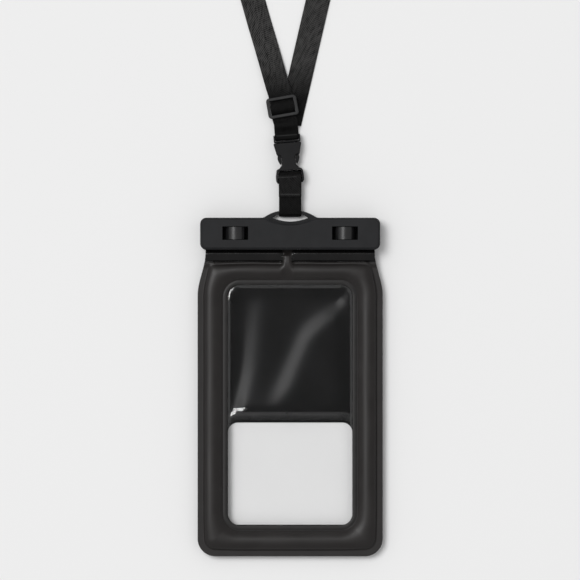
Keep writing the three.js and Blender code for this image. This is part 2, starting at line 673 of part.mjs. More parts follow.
function neckStrap() {
  const curve = new THREE.CatmullRomCurve3(strapRoute(), false, "centripetal");
  const steps = 2 * (curve.points.length - 1);
  const centres = [];
  for (let i = 0; i <= steps; i += 1) {
    centres.push(curve.getPoint(i / steps));
  }
  // Each section's long side is level and square to the route, and keeps its sense through the folds.
  const tangents = centres.map((_, i) => curve.getTangent(THREE.MathUtils.clamp(i / steps, 1e-4, 1 - 1e-4)));
  const sides = [];
  let last = new THREE.Vector3(-Math.cos(BUCKLE_TILT), -Math.sin(BUCKLE_TILT), 0);
  for (const tangent of tangents) {
    const side = new THREE.Vector3(tangent.y, -tangent.x, 0);
    const level = side.length();
    side.normalize().multiplyScalar(Math.sign(side.dot(last)) || 1);
    last = level > 0.3 ? side : last;
    sides.push(last);
  }
  const strap = new THREE.BoxGeometry(STRAP_WIDTH, WEB_THICK, steps, 1, 1, steps);
  const place = strap.attributes.position;
  for (let i = 0; i < place.count; i += 1) {
    const k = Math.round(place.getZ(i) + steps / 2);
    const roll = strapRoll(centres[k].y);
    const side = sides[k];
    const up = new THREE.Vector3().crossVectors(tangents[k], side).negate();
    const across = side.clone().multiplyScalar(Math.cos(roll)).addScaledVector(up, Math.sin(roll));
    const through = up.clone().multiplyScalar(Math.cos(roll)).addScaledVector(side, -Math.sin(roll));
    const lift = (Math.sin(roll) * STRAP_WIDTH) / 2 - (1 - Math.cos(roll)) * (WEB_THICK / 2);
    const point = centres[k].clone();
    point.z += Math.max(lift, 0);
    point.addScaledVector(across, place.getX(i)).addScaledVector(through, place.getY(i));
    place.setXYZ(i, point.x, point.y, point.z);
  }
  let solid = toSolid(strap);
  if (solid.volume() < 0) {
    strap.index.array.reverse();
    solid = toSolid(strap);
  }
  return toMesh(solid, webbing, "neck_strap");
}

function buckle() {
  const group = new THREE.Group();
  group.add(buckleFemale(), buckleMale());
  group.position.set(BUCKLE_X, BUCKLE_Y, 0);
  group.rotation.z = BUCKLE_TILT;
  return group;
}

const frontSheetLow = BAND_BOTTOM - GAP - CLEAR_FILM;
const rearSheetLow = FILM + GAP;

const pouch = new THREE.Group();
pouch.add(
  clampBack(),
  clampFront(),
  lock(-1, "lock_left"),
  lock(1, "lock_right"),
  paddedFront(),
  clearSheet(frontHole, frontSheetLow, "front_window"),
  backPanel(),
  clearSheet(rearHole, rearSheetLow, "back_window"),
  lowerLoop(),
  buckle(),
  slider(),
  neckStrap(),
);

export default pouch;
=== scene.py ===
# %% [markdown]
# # A waterproof phone pouch on a neck strap
# The pouch is two black plastic sheets welded round their edges, with clear film in the front and a smaller
# clear window in the back. A clamp bar with two turn locks shuts its mouth, and a side-release buckle joins
# the bar to a long webbing strap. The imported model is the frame: it gives the place and size of every piece,
# so this script only draws finer skins over it and gives them their finishes. Lengths are in millimetres,
# and one helper turns them into metres at the end.

import bmesh
import bpy
import numpy as np
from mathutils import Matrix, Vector


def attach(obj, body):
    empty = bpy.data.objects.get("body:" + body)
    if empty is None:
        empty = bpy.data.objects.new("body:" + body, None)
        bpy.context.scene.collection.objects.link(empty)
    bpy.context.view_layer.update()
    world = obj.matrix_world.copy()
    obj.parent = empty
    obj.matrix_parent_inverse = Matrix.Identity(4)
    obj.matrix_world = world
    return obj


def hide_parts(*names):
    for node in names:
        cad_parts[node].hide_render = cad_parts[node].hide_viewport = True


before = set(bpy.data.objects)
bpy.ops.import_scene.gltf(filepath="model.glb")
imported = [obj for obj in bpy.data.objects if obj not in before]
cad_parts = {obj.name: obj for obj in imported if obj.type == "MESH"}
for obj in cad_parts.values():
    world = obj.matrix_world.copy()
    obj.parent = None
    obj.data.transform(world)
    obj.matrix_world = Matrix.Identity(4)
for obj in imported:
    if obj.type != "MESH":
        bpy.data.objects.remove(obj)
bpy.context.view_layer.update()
MM = 0.001
print("solids in the frame:", len(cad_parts))

# %% [markdown]
# ## Looking straight down
# The pouch was photographed lying on a pale table, from straight above. A long lens far away keeps the bar,
# the padding and the table at nearly the same scale. The far end of the strap lies outside the picture.

# %% Camera
PICTURE_WIDTH = 377.0
CAMERA_HEIGHT = 3000.0
PICTURE_MIDDLE = (-0.1, -36.6)
SENSOR = 36.0
camera_data = bpy.data.cameras.new("camera")
camera_data.sensor_width = SENSOR
camera_data.lens = SENSOR * CAMERA_HEIGHT / PICTURE_WIDTH
camera = bpy.data.objects.new("camera", camera_data)
camera.location = Vector((*PICTURE_MIDDLE, CAMERA_HEIGHT)) * MM
bpy.context.scene.collection.objects.link(camera)
bpy.context.scene.camera = camera
print("lens in mm:", round(camera_data.lens, 1))

# %% [markdown]
# ## From arrays to meshes
# Every new piece is a grid of points worked out as one array. A grid can close on itself along its rows,
# along its columns or both, so the helper that numbers its four-sided faces takes both cases. The mesh is
# made in one call, and its normals are turned outwards once its doubles are merged.


# %% Grid and mesh helpers
def ease(x, low, high):
    """A smooth step: 0 below low, 1 above high, and 3t^2 - 2t^3 between them."""
    t = np.clip((x - low) / (high - low), 0, 1)
    return t * t * (3 - 2 * t)


def grid_faces(rows, columns, wrap_rows=False, wrap_columns=False):
    """The corners of each quad of a grid, and the same corners counted as if the grid didn't wrap."""
    i = np.arange(rows if wrap_rows else rows - 1)[:, None]
    j = np.arange(columns if wrap_columns else columns - 1)[None, :]
    wide = columns + wrap_columns
    corners = [(i, j), (i + 1, j), (i + 1, j + 1), (i, j + 1)]
    faces = np.stack([(a % rows) * columns + b % columns for a, b in corners], -1)
    places = np.stack([a * wide + b for a, b in corners], -1)
    return faces.reshape(-1, 4), places.reshape(-1, 4)


def make_piece(name, points, faces, body="pouch", caps=(), uv=None, places=None):
    """A smooth mesh object from points in mm; uv, in mm along and across, is read at places."""
    mesh = bpy.data.meshes.new(name)
    mesh.from_pydata((points.reshape(-1, 3) * MM).tolist(), [], faces.tolist() + [list(c) for c in caps])
    if uv is not None:
        layer = mesh.uv_layers.new(name="UVMap")
        flat = np.zeros((len(mesh.loops), 2))
        flat[: places.size] = uv.reshape(-1, 2)[places.ravel()] * MM
        layer.data.foreach_set("uv", flat.ravel().astype(np.float32))
    work = bmesh.new()
    work.from_mesh(mesh)
    bmesh.ops.remove_doubles(work, verts=work.verts, dist=1e-7)
    bmesh.ops.recalc_face_normals(work, faces=work.faces)
    work.to_mesh(mesh)
    work.free()
    mesh.shade_smooth()
    piece = bpy.data.objects.new(name, mesh)
    bpy.context.scene.collection.objects.link(piece)
    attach(piece, body)
    print(name, "faces:", len(mesh.polygons))
    return piece


# %% [markdown]
# ## Webbing
# Webbing is a flat woven band. It bends easily over its face and hardly at all over its edge, so it runs
# nearly level along the table, folds flat round each bar, and stands up on its edge where it must turn in
# the plane of the table. A lens-shaped section is carried along the middle line. Its long side stays level
# and square to the line, which keeps it true through the folds.


# %% A band carried along a line
SPAN_POINTS = 48


def spline(points, step):
    """Centripetal Catmull-Rom: a cubic per span with knots at the square root of the span's length,
    then points at equal steps along it."""
    ends = np.vstack([2 * points[0] - points[1], points, 2 * points[-1] - points[-2]])
    p0, p1, p2, p3 = ends[:-3], ends[1:-2], ends[2:-1], ends[3:]
    spans = ((p0, p1), (p1, p2), (p2, p3))
    gaps = [np.maximum(np.linalg.norm(b - a, axis=1) ** 0.5, 1e-6)[:, None] for a, b in spans]
    start = ((p1 - p0) / gaps[0] - (p2 - p0) / (gaps[0] + gaps[1]) + (p2 - p1) / gaps[1]) * gaps[1]
    stop = ((p2 - p1) / gaps[1] - (p3 - p1) / (gaps[1] + gaps[2]) + (p3 - p2) / gaps[2]) * gaps[1]
    t = np.linspace(0, 1, SPAN_POINTS, endpoint=False)[None, :, None]
    square = -3 * p1 + 3 * p2 - 2 * start - stop
    cube = 2 * p1 - 2 * p2 + start + stop
    a, b, c, d = (term[:, None, :] for term in (p1, start, square, cube))
    fine = np.vstack([(a + b * t + c * t**2 + d * t**3).reshape(-1, 3), points[-1:]])
    along = np.concatenate([[0], np.cumsum(np.linalg.norm(np.diff(fine, axis=0), axis=1))])
    even = np.linspace(0, along[-1], max(int(along[-1] / step), 8) + 1)
    return np.stack([np.interp(even, along, fine[:, k]) for k in range(3)], 1), even


SECTION_ACROSS = np.array([-1, -0.985, -0.95, -0.86, -0.5, 0, 0.5, 0.86, 0.95, 0.985, 1])


def band_section(width, thick):
    """Across and through places of a lens section: half the thickness times (1 - across^8)^(1/2)."""
    x = np.concatenate([SECTION_ACROSS, SECTION_ACROSS[-2:0:-1]])
    sign = np.concatenate([np.ones(len(SECTION_ACROSS)), -np.ones(len(SECTION_ACROSS) - 2)])
    return x * width / 2, sign * thick / 2 * np.sqrt(1 - np.abs(x) ** 8)


def carry_band(name, line, along, side, width, thick, up=None, lift=None):
    """Each point is line + side * across + up * through, where up is square to the line and its side."""
    ahead = np.gradient(line, axis=0)
    ahead /= np.linalg.norm(ahead, axis=1)[:, None]
    up = np.cross(side, ahead) if up is None else up
    lift = np.zeros(len(line)) if lift is None else lift
    across, through = band_section(width, thick)
    middle = line + lift[:, None] * np.array([0, 0, 1.0])
    points = middle[:, None, :] + side[:, None, :] * across[None, :, None]
    points = points + up[:, None, :] * through[None, :, None]
    rows, columns = len(line), len(across)
    faces, places = grid_faces(rows, columns, wrap_columns=True)
    across_uv = np.append(across, across[0])
    uv = np.stack(np.broadcast_arrays(along[:, None], across_uv[None, :]), -1)
    caps = [range(columns), range((rows - 1) * columns, rows * columns)]
    return make_piece(name, points, faces, caps=caps, uv=uv, places=places), middle


# %% [markdown]
# ## The neck strap
# One length of webbing is folded round the buckle's bar, woven through the slider so that its length can be
# set, taken round the wearer's neck and sewn behind its own beginning. About a quarter of it is in the
# picture. The rest lies on the table, and its far end stands on its edge in one wide turn, because a band
# doesn't bend in its own plane. The route is the one that the solid follows, so the two lie in the same
# place.

# %% Neck strap
STRAP_WIDTH = 15.5
WEB_THICK = 1.2
BUCKLE_PLACE = np.array([-0.1, 36.6])
BUCKLE_TILT = np.radians(4.5)
SLIDER_PLACE = np.array([-5.1, 82.4])
SLIDER_TILT = np.radians(10)
TURN_MIDDLE = (-7.8, 341.3)
TURN_RADIUS = 68
TURN_POINTS = 11
ROLL_FROM, ROLL_TO = 235, 315
LEVEL_ENOUGH = 0.3


def on_tilted(place, tilt, steps):
    """Points at a distance along, and a height, on a line that leaves place and leans left by tilt."""
    steps = np.array(steps, float)
    lean = np.array([-np.sin(tilt), np.cos(tilt)])
    return np.column_stack([place + steps[:, :1] * lean, steps[:, 1]])


FLAT = WEB_THICK / 2 + 0.02
round_bar = [(27.9, 6.05), (27.2, 6), (26.35, 5.85), (25.11, 5.34), (24.6, 4.1), (25.11, 2.86)]
round_bar += [(26.35, 2.35), (28, 1.95), (29.8, 1.8), (31.3, 2.3), (32.5, 3.5), (33.8, 4.4), (35.2, 4)]
round_bar += [(36.4, 2.8)]
through_slider = [(-7.8, 2.3), (-5.6, 2.1), (-4.1, 2.8), (-2.9, 4.2), (-1.7, 5.7), (0, 6.25), (1.7, 5.7)]
through_slider += [(2.9, 4.2), (4.1, 2.8), (5.6, 2.2), (8.2, 2.1)]
left_leg = [(-8.2, 96, 2.1), (-11.6, 108, 2), (-15.6, 122, 1.1), (-20, 137, FLAT), (-24.2, 151.9, FLAT)]
left_leg += [(-33.5, 184.5, FLAT), (-43.3, 219, FLAT), (-53, 253, FLAT), (-63, 288, FLAT)]
turn = np.radians(np.linspace(196, -13, TURN_POINTS))
turn_x = TURN_MIDDLE[0] + TURN_RADIUS * np.cos(turn)
turn_y = TURN_MIDDLE[1] + TURN_RADIUS * np.sin(turn)
far_turn = np.column_stack([turn_x, turn_y, np.full(TURN_POINTS, FLAT)])
right_leg = [(49.8, 288), (41.6, 253), (33.7, 219), (25.7, 184.5), (18.1, 151.9), (13.7, 133), (9.2, 113.5)]
right_leg += [(4.7, 94), (1.4, 80), (-0.5, 71.5)]
route = np.vstack([
    on_tilted(BUCKLE_PLACE, BUCKLE_TILT, round_bar),
    on_tilted(SLIDER_PLACE, SLIDER_TILT, through_slider),
    left_leg,
    far_turn,
    [(x, y, FLAT) for x, y in right_leg],
])
strap_line, strap_along = spline(route, 0.8)
ahead = np.gradient(strap_line, axis=0)
ahead /= np.linalg.norm(ahead, axis=1)[:, None]
level = np.hypot(ahead[:, 0], ahead[:, 1])
last_level = np.maximum.accumulate(np.where(level > LEVEL_ENOUGH, np.arange(len(level)), 0))
side = np.column_stack([ahead[:, 1], -ahead[:, 0], np.zeros(len(level))])[last_level]
side /= np.linalg.norm(side, axis=1)[:, None]
turns_over = np.sign(np.sum(side[1:] * side[:-1], axis=1))
side[1:] *= np.cumprod(turns_over)[:, None]
up = np.cross(side, ahead)
up *= np.sign(up[len(up) // 2, 2])
roll = (ease(strap_line[:, 1], ROLL_FROM, ROLL_TO) * np.pi / 2)[:, None]
strap_side = side * np.cos(roll) + up * np.sin(roll)
strap_up = up * np.cos(roll) - side * np.sin(roll)
lift = np.maximum(np.sin(roll) * STRAP_WIDTH / 2 - (1 - np.cos(roll)) * WEB_THICK / 2, 0)[:, 0]
neck_strap, strap_middle = carry_band(
    "neck_webbing", strap_line, strap_along, strap_side, STRAP_WIDTH, WEB_THICK, strap_up, lift
)
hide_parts("neck_strap")

# %% [markdown]
# ## The short strap under the buckle
# A second piece of the same webbing passes through the clamp's eye and round the buckle's rear bar. Its end
# is folded back over the front and sewn down, so the upper part looks doubled, with a cut edge at each end.
# The loop and the lap on it are two bands along lines in the plane of the strap's side view.

# %% Short strap
LOOP_WIDTH = 14.4
LAP_WIDER = 0.3
TILT_FROM, TILT_TO = 33, 38.5
loop_yz = [(12.6, 5.3), (14.2, 5.5), (16.0, 5.7), (18.5, 5.45), (24, 5.4), (32, 5.4), (37.4, 5.2)]
loop_yz += [(39.1, 4.6), (39.68, 3.6), (39.68, 2.2), (39.2, 1.1), (37.9, 0.64), (30, 0.62), (20, 0.62)]
loop_yz += [(13.2, 0.62), (12.0, 0.95), (11.55, 1.9), (11.5, 3.6), (11.75, 4.6), (12.4, 5.2)]
lap_yz = [(23.9, 6.62), (27, 6.66), (30, 6.62), (34, 6.66), (37.4, 6.6)]


def level_band(name, yz, width):
    """A band along a line in Y and Z, its width along X, turned with the buckle at its upper end."""
    line, along = spline(np.array([(0.0, y, z) for y, z in yz]), 0.4)
    turned = np.tan(BUCKLE_TILT) * ease(line[:, 1], TILT_FROM, TILT_TO)
    line[:, 1] += turned * width / 2
    across = np.column_stack([np.ones(len(line)), turned, np.zeros(len(line))])
    return carry_band(name, line, along, across, width, WEB_THICK)[0]


short_strap = level_band("short_webbing", loop_yz, LOOP_WIDTH)
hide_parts("lower_strap")
sewn_lap = level_band("sewn_lap", lap_yz, LOOP_WIDTH + LAP_WIDER)

# %% [markdown]
# ## Sewing thread
# The overlap is held by zigzag stitches near both its cut ends, and the neck strap's sewn end has one more.
# One stitch is a short bent rod, and the rows are that rod placed many times by adding an array of places.


# %% Stitches
ROW_POINTS = 22
ON_LAP, ON_STRAP = 7.16, 6.62


def stitch_rows(name, starts, stops, lift_mm, thick=0.32):
    """Each stitch runs from start to stop, bowed up by lift_mm times sin(pi t), with a round section."""
    t = np.linspace(0, 1, 7)
    angle = np.linspace(0, 2 * np.pi, 6, endpoint=False)
    run = stops - starts
    length = np.linalg.norm(run, axis=1)[:, None]
    along = run / length
    sideways = np.column_stack([-along[:, 1], along[:, 0], np.zeros(len(run))])
    middle = starts[:, None, :] + run[:, None, :] * t[None, :, None]
    middle[..., 2] += lift_mm * np.sin(np.pi * t)[None, :]
    radius = thick / 2 * np.sqrt(np.maximum(1 - (2 * t - 1) ** 6, 0.02))
    ring = sideways[:, None, None, :] * np.cos(angle)[None, None, :, None]
    ring = ring + np.array([0, 0, 1.0]) * np.sin(angle)[None, None, :, None]
    points = middle[:, :, None, :] + ring * radius[None, :, None, None]
    one, _ = grid_faces(len(t), len(angle), wrap_columns=True)
    size = len(t) * len(angle)
    faces = (one[None] + size * np.arange(len(run))[:, None, None]).reshape(-1, 4)
    first = np.arange(len(angle))
    ends = np.vstack([first, first + size - len(angle)])
    caps = (ends[None] + size * np.arange(len(run))[:, None, None]).reshape(-1, len(angle))
    return make_piece(name, points, faces, caps=caps.tolist())


def zigzag(half, low, high, height, turn=0.0, place=(0.0, 0.0)):
    """Stitches across a band between two lines low and high, turned by turn about place."""
    x = np.linspace(-half, half, ROW_POINTS)
    y = np.where(np.arange(ROW_POINTS) % 2, low, high)
    across, ahead = np.array([np.cos(turn), np.sin(turn)]), np.array([-np.sin(turn), np.cos(turn)])
    xy = np.array(place) + x[:, None] * across + y[:, None] * ahead
    points = np.column_stack([xy, np.full(ROW_POINTS, height)])
    return points[:-1], points[1:]


lower_seam = zigzag(6.3, 24.7, 26.0, ON_LAP)
upper_seam = zigzag(6.3, 36.3, 36.9, ON_LAP, BUCKLE_TILT * 0.7)
neck_seam = zigzag(6.6, 26.9, 27.5, ON_STRAP, BUCKLE_TILT, BUCKLE_PLACE)
seams = [lower_seam, upper_seam, neck_seam]
starts, stops = [np.vstack(points) for points in zip(*seams)]
threads = stitch_rows("strap_stitches", starts, stops, 0.06)

# %% [markdown]
# ## The pouch's outline and its windows
# The sheet is a rounded rectangle that narrows where the clamp grips it, and both windows are rounded
# rectangles too. Each outline has the same number of points on each side and corner, so a straight line from
# a point of one to the same point of the other never crosses its neighbours, and the grid between them is
# even.

# %% Outlines
POUCH_HALF, NECK_HALF = 60.0, 54.8
POUCH_LOW, MOUTH_Y, NECK_Y, SHOULDER_Y = -209.3, -4.7, -18.7, -40.0
POUCH_CORNER = 11.4
FRONT_HOLE = dict(half=40.4, low=-189.3, high=-33.3, corner=8.0)
REAR_HOLE = dict(half=40.4, low=-189.1, high=-122.7, corner=6.5)
LAP = 2.0
CORNER_SHARE = 0.17
NARROW_END = -12.0


def rounded_outline(half, low, high, corner, high_corner=None, count=120, crowd=1.7):
    """Four sides anticlockwise from the lower right, each half corner, straight run, half corner. On a half
    corner the distances along and inwards are r(1 - sin a) and r(1 - cos a). On the long sides the points
    crowd towards the neck, where the form is finest, as t^crowd."""
    high_corner = corner if high_corner is None else high_corner
    t = np.arange(count) / count
    even = np.clip((t - CORNER_SHARE) / (1 - 2 * CORNER_SHARE), 0, 1)
    first = (1 - np.clip(t / CORNER_SHARE, 0, 1)) * np.pi / 4
    last = np.clip((t - 1 + CORNER_SHARE) / CORNER_SHARE, 0, 1) * np.pi / 4
    corners = np.array([(half, low), (half, high), (-half, high), (-half, low)])
    radii = [corner, high_corner, high_corner, corner]
    spacing = [1 - (1 - even) ** crowd, even, even**crowd, even]
    sides = []
    for k in range(4):
        run = corners[(k + 1) % 4] - corners[k]
        length = np.abs(run).sum()
        ahead_xy, inward = run / length, np.array([-run[1], run[0]]) / length
        ra, rb = radii[k], radii[(k + 1) % 4]
        along = ra + (length - ra - rb) * spacing[k]
        along = np.where(first > 0, ra * (1 - np.sin(first)), along)
        along = np.where(last > 0, length - rb * (1 - np.sin(last)), along)
        across = ra * (1 - np.cos(first)) + rb * (1 - np.cos(last))
        sides.append(corners[k] + along[:, None] * ahead_xy + across[:, None] * inward)
    return np.vstack(sides)


def inside_box(x, y, half, low, high, corner):
    """How far a point lies inside a rounded rectangle, negative outside it."""
    qx = np.abs(x) - (half - corner)
    qy = np.abs(y - (low + high) / 2) - ((high - low) / 2 - corner)
    return corner - np.hypot(np.maximum(qx, 0), np.maximum(qy, 0)) - np.minimum(np.maximum(qx, qy), 0)


def half_width(y):
    """Half the pouch's width: full below the shoulders, narrower in the clamp."""
    return POUCH_HALF - (POUCH_HALF - NECK_HALF) * ease(y, SHOULDER_Y, NARROW_END)


def pouch_outline(count=120):
    """The outline with its width drawn in towards the neck."""
    line = rounded_outline(POUCH_HALF, POUCH_LOW, MOUTH_Y, POUCH_CORNER, 1.0, count)
    line[:, 0] *= half_width(line[:, 1]) / POUCH_HALF
    return line


# %% [markdown]
# ## A sheet with a hole
# Both the padded front and the back panel are rings: a skin that goes from the outline inwards to the
# window's edge, drops over the edge and comes back underneath. Two functions of place give the heights of
# its upper and its under side, and each is told how far the place is from the outline and from the window.


# %% Ring between the outline and a window
def ring_skin(name, hole, top_rows, low_rows, top_at, low_at, count=120):
    """Point = outline + (window edge - outline) * t, out along the top and back along the underside."""
    outer = pouch_outline(count)
    inner = rounded_outline(count=count, **hole)
    t = np.concatenate([top_rows, low_rows[::-1]])[:, None, None]
    xy = outer[None] + (inner - outer)[None] * t
    x, y = xy[..., 0], xy[..., 1]
    out = inside_box(x * POUCH_HALF / half_width(y), y, POUCH_HALF, POUCH_LOW, -POUCH_LOW, POUCH_CORNER)
    inn = -inside_box(x, y, **hole)
    split = len(top_rows)
    z = np.vstack([
        top_at(x[:split], y[:split], out[:split], inn[:split]),
        low_at(x[split:], y[split:], out[split:], inn[split:]),
    ])
    points = np.dstack([x, y, z])
    faces, _ = grid_faces(points.shape[0], points.shape[1], wrap_rows=True, wrap_columns=True)
    return make_piece(name, points, faces)


# %% [markdown]
# ## Heights of the welded sheets
# The back sheet lies on the table and ramps up into the clamp, and the front sheet follows it. Between its
# outer weld and the weld round the window the front is a double skin with air in it, so it swells like a
# cushion: a quarter ellipse stands up steeply from the outer weld, and a low dome runs on to the bead round
# the window. The swelling stops at the neck in a rounded lip over a crease. Above it two shallow strips lie
# side by side under the bar, with a pleat between them that joins the cushion.

# %% Height functions
FILM, GAP = 0.4, 0.3
CLAMP_BACK_HALF = 5.0
FLANGE, FLANGE_TOP = 2.6, 1.3
BEAD, BAND_TOP, BAND_BOTTOM = 3.3, 6.9, 6.3
PLEAT_X, PLEAT_HALF = -1.9, 2.9
CREASE_Y = NECK_Y + 0.35
SIDE_SHARE = 0.24
DOME = 3.15
PAD_TOP = 10.3
UNEVEN = 0.2
LIP_HEIGHT, LIP_DEPTH = 2.0, 0.7
BEAD_BASE, BEAD_ROUND = BAND_TOP - 0.45, 0.36
RIDGE_PLACE, RIDGE_WIDTH, RIDGE_HEIGHT = 2.8, 0.35, 0.2
STRIP_HEIGHT = 2.3
STRIP_TOP, STRIP_CREST, STRIP_LOW = -11.2, -13.0, -18.1
RAMP_END = -11.5
PARTING = 0.25


def table_rise(y):
    """Height of the back sheet's underside."""
    return (CLAMP_BACK_HALF + GAP) * ease(y, SHOULDER_Y + 3, RAMP_END)


def front_sheet(y):
    """Height of the front sheet's underside."""
    return table_rise(y) + FILM + GAP + PARTING * ease(-y, -RAMP_END, 5 - RAMP_END)


def soft_waves(x, y, length, phase=0.0):
    """Four sines that cross at odd angles, from -1 to 1, for the unevenness of soft film."""
    k = 2 * np.pi / length
    return (
        np.sin(k * (x + 0.31 * y) + phase)
        + np.sin(k * 0.83 * (0.22 * x - y) + 1.7 * phase + 1)
        + np.sin(k * 1.37 * (0.8 * x + 0.63 * y) + 2.3 * phase + 2)
        + np.sin(k * 0.57 * (x - 0.9 * y) + 0.6 * phase + 4)
    ) / 4


def arch_rise(d):
    """A quarter ellipse from 0 at d = 0 to 1 at d = 1."""
    return np.sqrt(1 - (1 - np.clip(d, 0, 1)) ** 2)


def nearer(a, b, soft):
    """The smaller of two distances with a rounded change-over: -soft ln(e^(-a/soft) + e^(-b/soft))."""
    low = np.minimum(a, b)
    return low - soft * np.log(np.exp(-(a - low) / soft) + np.exp(-(b - low) / soft))


def padded_top(x, y, out, inn):
    """Flange, steep side, low dome and window bead; above the lip, two strips and the pleat. With s from 0
    at the outer weld to 1 at the bead: side = quarter ellipse of s / SIDE_SHARE, dome = 1 - |2s - 1|^2.2."""
    flat = front_sheet(y) + FILM
    from_pleat = np.abs(x - PLEAT_X)
    crease = CREASE_Y + 9 * (1 - ease(from_pleat, 1.9, 3.7)) + 0.15 * np.sin(x / 5.3)
    out = nearer(out, crease - y + 2.3, 1.2 * ease(y, -60, -30) + 0.05)
    room_out = np.maximum(out - FLANGE, 0)
    room_in = np.maximum(inn - BEAD, 0)
    s = room_out / (room_out + room_in + 1e-6)
    foot = np.maximum(FLANGE_TOP, flat + 0.3)
    dome = 1 - np.abs(2 * s - 1) ** 2.2
    pad = foot + (BAND_TOP - 0.25 - foot) * arch_rise(s / SIDE_SHARE) + DOME * dome
    pad += UNEVEN * dome * soft_waves(x, y, 40)
    ridge = RIDGE_HEIGHT * np.exp(-(((out - RIDGE_PLACE) / RIDGE_WIDTH) ** 2))
    pad += ridge * ease(crease - y, 3, 7) - 0.25 * (1 - ease(out, 0, 0.5))
    lip = LIP_HEIGHT * arch_rise((crease - y) / LIP_DEPTH) * (1 - ease(crease - y, 2.0, 4.5))
    pad = np.maximum(pad, flat + lip)
    bead = BEAD_BASE + BEAD_ROUND * np.sqrt(np.clip(1 - ((inn - BEAD / 2) / (BEAD / 2)) ** 2, 0, 1))
    pad = np.where(inn < BEAD, bead, np.maximum(pad, BEAD_BASE))
    pad = np.maximum(np.minimum(pad, PAD_TOP), flat + 0.02)
    raised = ease(crease - y, 0, 0.25) * ease(-y, 10.7, 14.8)
    ends = arch_rise((from_pleat - PLEAT_HALF) / 1.6)
    rising = arch_rise((STRIP_TOP - y) / 2.2)
    fall = 0.5 * np.clip((STRIP_CREST - y) / 4.6, 0, 1) ** 1.2
    falling = (1 - fall) * arch_rise((y - STRIP_LOW) / 0.8)
    strip = STRIP_HEIGHT * ends * np.where(y > STRIP_CREST, rising, falling)
    return np.maximum(flat + (pad - flat) * raised, flat + strip)


def padded_low(x, y, out, inn):
    """The underside, which rises under the weld band to leave room for the clear film."""
    sheet = front_sheet(y)
    wall = 1 - ease(inn, 3.5, 5.5)
    return np.maximum(sheet, sheet + (BAND_BOTTOM - sheet) * wall * (1 - ease(y, NECK_Y - 4, NECK_Y)))


# %% [markdown]
# ## Padded front
# The air-filled frame is the pouch's largest visible piece. It gets a fine grid, because its highlights show
# every unevenness, and the faces of the weld band and of the strips get finishes of their own afterwards.

# %% Padded front
TOP_ROWS, LOW_ROWS = np.linspace(0, 1, 84), np.linspace(0, 1, 18)
padded_front = ring_skin("padded_front_film", FRONT_HOLE, TOP_ROWS, LOW_ROWS, padded_top, padded_low)
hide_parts("padded_front")


# %% [markdown]
# ## Back panel
# The back is a single glossy sheet. A wide weld runs round its own small window, and it stands a little
# proud, so that it shows through the front film as a paler ledge above the see-through part. Between the
# ledge and the window a thin strip is painted near black, as the shade under the ledge's edge.

# %% Back panel
LEDGE_NEAR, LEDGE_FAR = 1.9, 8.2
LEDGE_EDGE = 0.3
LEDGE_HEIGHT = 0.9
SLACK = 0.3
PANEL_TOP_ROWS, PANEL_LOW_ROWS = np.linspace(0, 1, 70), np.linspace(0, 1, 24)


def panel_top(x, y, out, inn):
    """The sheet's upper side with slow waves, and the ledge round the window."""
    waves = SLACK * (1 + soft_waves(x, y, 46, 2.0)) * ease(inn, 10, 26) * ease(-y, 42, 60)
    fallen = np.clip((inn - LEDGE_NEAR - LEDGE_EDGE) / (LEDGE_FAR - LEDGE_NEAR - LEDGE_EDGE), 0, 1)
    ledge = LEDGE_HEIGHT * ease(inn, LEDGE_NEAR - LEDGE_EDGE, LEDGE_NEAR + 0.4) * (1 - fallen) ** 2
    ledge *= ease(REAR_HOLE["half"] - np.abs(x), -2.0, 2.0) * ease(y, -126.0, -120.0)
    return table_rise(y) + FILM + waves + ledge


def panel_low(x, y, out, inn):
    """The sheet's underside."""
    return table_rise(y)


back_panel = ring_skin(
    "back_panel_film", REAR_HOLE, PANEL_TOP_ROWS, PANEL_LOW_ROWS, panel_top, panel_low
)
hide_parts("back_panel")

# %% [markdown]
# ## Clear windows
# The windows are thin clear film, held only at their welded edges, so they are slightly slack and their
# waves catch long soft reflections. Each is a set of rounded rectangles that shrink to a point, once for
# the upper side and once for the lower. Two folds slant across the front one, and it curls up at its corners
# and over the end of the ledge.


# %% Clear films
DENT_X, DENT_Y, DENT_RADIUS = -30.5, -122, 8.6


def clear_film(name, hole, middle, wave_at, rows=60, count=90):
    """Outline times k, with k from 1 to 0 above and back to 1 below; height = middle + waves, plus or minus
    half the film's thickness."""
    half, low, high = hole["half"] + LAP, hole["low"] - LAP, hole["high"] + LAP
    line = rounded_outline(half, low, high, hole["corner"] + LAP, None, count, 1.0)
    centre = np.array([0, (low + high) / 2])
    k = np.concatenate([np.linspace(1, 0, rows), np.linspace(0, 1, rows)])
    xy = centre + (line - centre)[None] * k[:, None, None]
    x, y = xy[..., 0], xy[..., 1]
    face = np.where(np.arange(2 * rows) < rows, FILM / 2, -FILM / 2)[:, None]
    points = np.dstack([x, y, middle + wave_at(x, y) + face])
    faces, _ = grid_faces(2 * rows, points.shape[1], wrap_rows=True, wrap_columns=True)
    return make_piece(name, points, faces)


